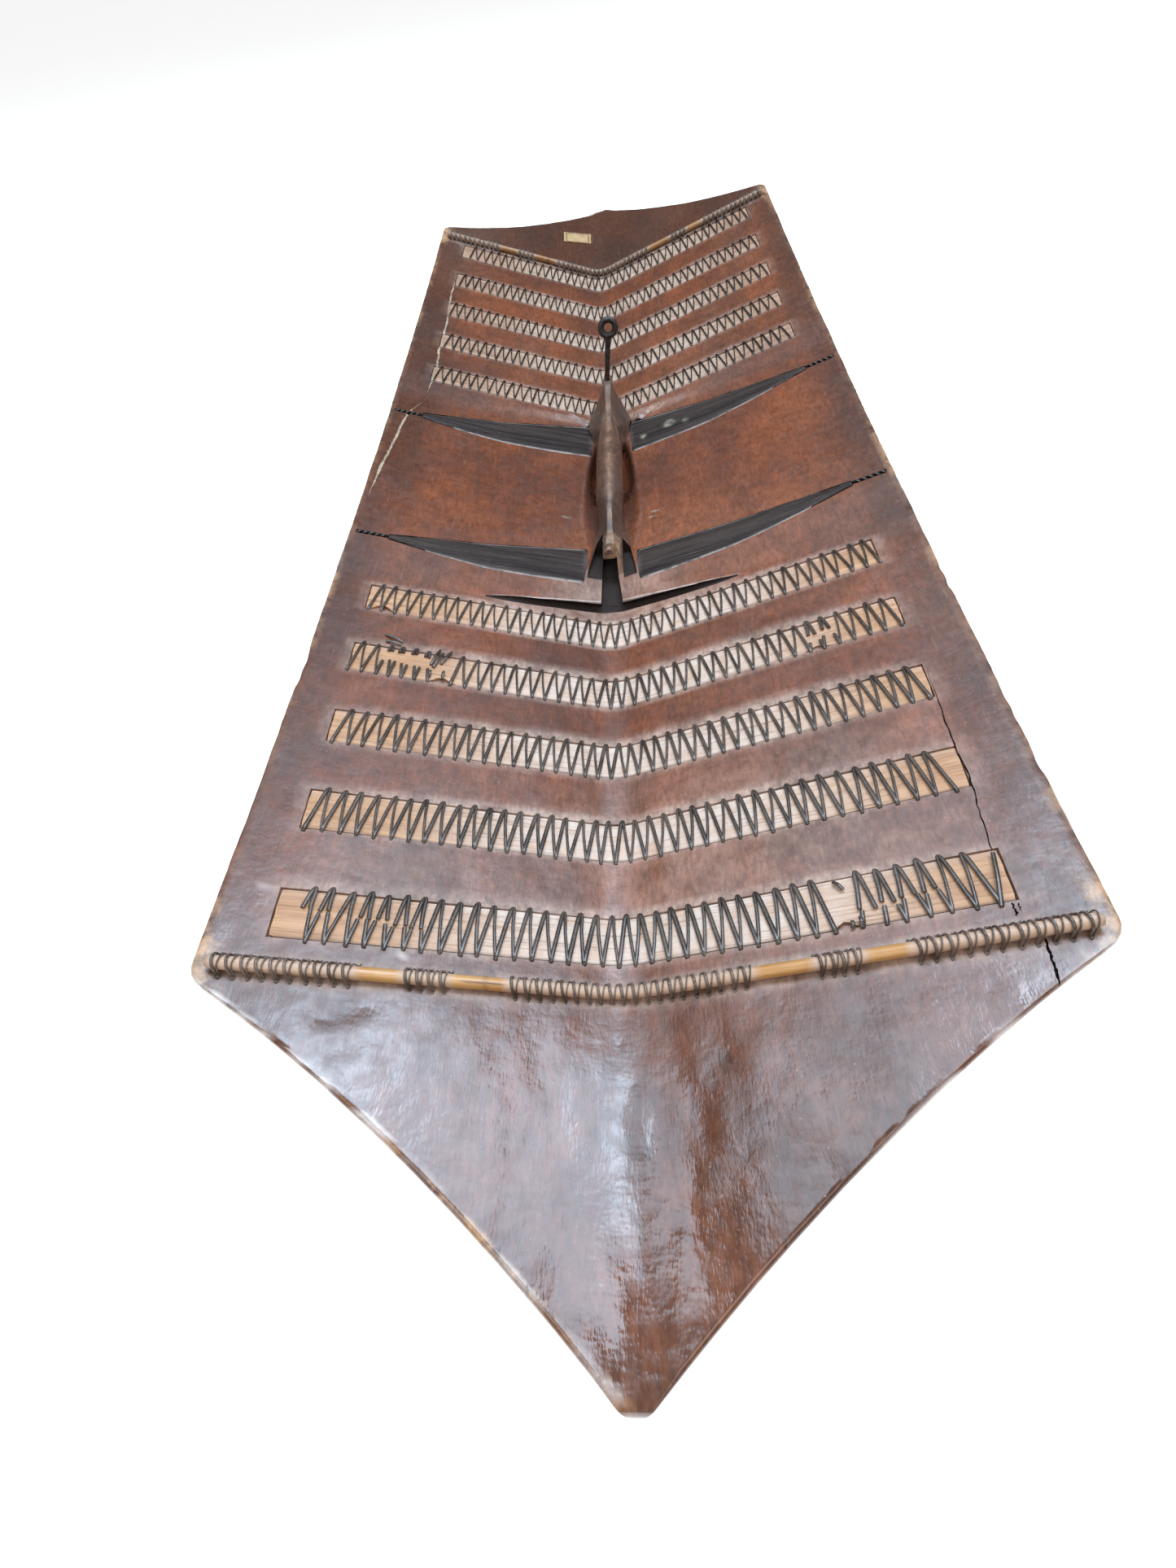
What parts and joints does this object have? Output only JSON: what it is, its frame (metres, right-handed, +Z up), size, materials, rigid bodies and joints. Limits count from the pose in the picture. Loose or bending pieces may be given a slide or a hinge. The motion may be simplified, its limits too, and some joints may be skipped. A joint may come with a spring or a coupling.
{
  "type": "tribal shield",
  "caption": "Long hexagonal wooden war shield with a soft V section, a handle carved in one with it, cane bands sewn across its back and an iron eye pin at the handle's end",
  "frame": {"origin": "centre of the bounding box, on the plane that the shield lies on", "axes": "+Y runs along the shield to its upper point, +X to the right as seen from above its grip side, +Z up out of the grip side"},
  "size_m": [0.434, 1.2865, 0.1253],
  "materials": {
    "board_wood": "dark worn hand-polished wood",
    "cane": "dusty split cane",
    "lacing": "dark split cane thread, slightly shiny",
    "rod_cane": "glossy orange cane",
    "batten_wood": "near-black worn hardwood",
    "iron": "dark forged iron",
    "paper": "old blank paper"
  },
  "bodies": {
    "root": {"board": "board_wood", "cane_strip_upper_1": "cane", "cane_strip_upper_2": "cane", "cane_strip_upper_3": "cane", "cane_strip_upper_4": "cane", "cane_strip_upper_5": "cane", "cane_strip_lower_1": "cane", "cane_strip_lower_2": "cane", "cane_strip_lower_3": "cane", "cane_strip_lower_4": "cane", "cane_strip_lower_5": "cane", "lacing_upper_1": "lacing", "lacing_upper_2": "lacing", "lacing_upper_3": "lacing", "lacing_upper_4": "lacing", "lacing_upper_5": "lacing", "lacing_lower_1": "lacing", "lacing_lower_2_left": "lacing", "lacing_lower_2_right": "lacing", "lacing_lower_3": "lacing", "lacing_lower_4": "lacing", "lacing_lower_5_left": "lacing", "lacing_lower_5_right": "lacing", "rod_upper": "rod_cane", "rod_lower": "rod_cane", "rod_lashing_upper_1": "lacing", "rod_lashing_upper_2": "lacing", "rod_lashing_upper_3": "lacing", "rod_lashing_upper_4": "lacing", "rod_lashing_upper_5": "lacing", "rod_lashing_lower_1": "lacing", "rod_lashing_lower_2": "lacing", "rod_lashing_lower_3": "lacing", "rod_lashing_lower_4": "lacing", "rod_lashing_lower_5": "lacing", "batten_upper_left": "batten_wood", "batten_tie_upper_left": "lacing", "batten_upper_right": "batten_wood", "batten_tie_upper_right": "lacing", "batten_lower_left": "batten_wood", "batten_tie_lower_left": "lacing", "batten_lower_right": "batten_wood", "batten_tie_lower_right": "lacing", "eye_pin": "iron", "paper_patch": "paper"}
  },
  "joints": []
}
